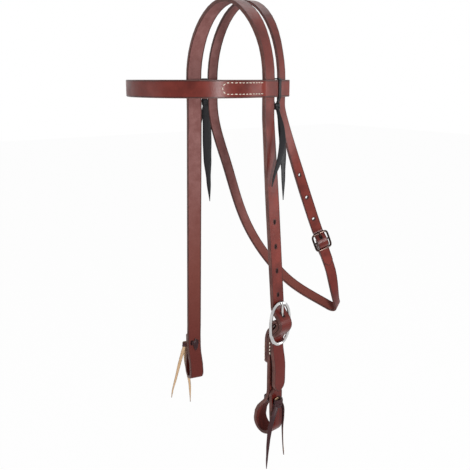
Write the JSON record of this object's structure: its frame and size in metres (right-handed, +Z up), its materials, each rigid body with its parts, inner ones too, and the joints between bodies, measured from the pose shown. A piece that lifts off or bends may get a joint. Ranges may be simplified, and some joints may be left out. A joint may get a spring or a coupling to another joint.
{
  "type": "western headstall",
  "caption": "Leather browband headstall with crown strap, throat strap, bit loops closed by leather ties, and centre-bar buckles on the near side.",
  "frame": {"origin": "underside of the crown, at the middle of the poll, where the headstall hangs", "axes": "+X to the near side (the horse's left), -Y to the horse's front, +Z up"},
  "size_m": [0.2361, 0.265, 0.5633],
  "materials": {
    "crown_strap": "oiled chestnut, burnished dark edges",
    "throat_strap": "oiled chestnut, burnished dark edges",
    "browband": "oiled chestnut, burnished dark edges, pale thread",
    "near_cheekpiece": "oiled chestnut, burnished dark edges, pale thread",
    "cheek_buckle_frame": "polished stainless",
    "cheek_buckle_tongue": "polished stainless",
    "throat_buckle_frame": "dark antique",
    "throat_buckle_tongue": "dark antique",
    "near_browband_tie": "black, soft",
    "off_browband_tie": "black, soft",
    "near_bit_tie": "burgundy grain, tan flesh side",
    "off_bit_tie": "burgundy grain, tan flesh side"
  },
  "bodies": {
    "headstall": {"crown_strap": "crown_strap", "throat_strap": "throat_strap", "off_bit_tie": "off_bit_tie"},
    "browband": {"browband": "browband", "near_browband_tie": "near_browband_tie", "off_browband_tie": "off_browband_tie"},
    "cheek_buckle": {"cheek_buckle_frame": "cheek_buckle_frame"},
    "cheek_tongue": {"cheek_buckle_tongue": "cheek_buckle_tongue"},
    "near_cheek": {"near_cheekpiece": "near_cheekpiece", "near_bit_tie": "near_bit_tie"},
    "throat_buckle": {"throat_buckle_frame": "throat_buckle_frame"},
    "throat_tongue": {"throat_buckle_tongue": "throat_buckle_tongue"}
  },
  "joints": [
    {"name": "browband_slide", "type": "slide", "parent": "headstall", "child": "browband", "axis": [0, 0, 1], "range_m": [-0.006, 0.004]},
    {"name": "cheek_buckle_turn", "type": "hinge", "parent": "headstall", "child": "cheek_buckle", "pos_m": [0.09697, 0.00515, -0.362], "axis": [-0.1392, 0.9903, 0], "range_deg": [0, 1.5]},
    {"name": "cheek_tongue_lift", "type": "hinge", "parent": "cheek_buckle", "child": "cheek_tongue", "pos_m": [0.09697, 0.00515, -0.362], "axis": [-0.1392, 0.9903, 0], "range_deg": [0, 4]},
    {"name": "near_cheek_swing", "type": "hinge", "parent": "cheek_buckle", "child": "near_cheek", "pos_m": [0.09697, 0.00515, -0.362], "axis": [-0.1392, 0.9903, 0], "range_deg": [0, 12]},
    {"name": "throat_buckle_turn", "type": "hinge", "parent": "headstall", "child": "throat_buckle", "pos_m": [0.074, 0.089, -0.28], "axis": [0.4142, 0.813, 0.4092], "range_deg": [0, 1]},
    {"name": "throat_tongue_lift", "type": "hinge", "parent": "throat_buckle", "child": "throat_tongue", "pos_m": [0.074, 0.089, -0.28], "axis": [0.4142, 0.813, 0.4092], "range_deg": [0, 4]}
  ]
}
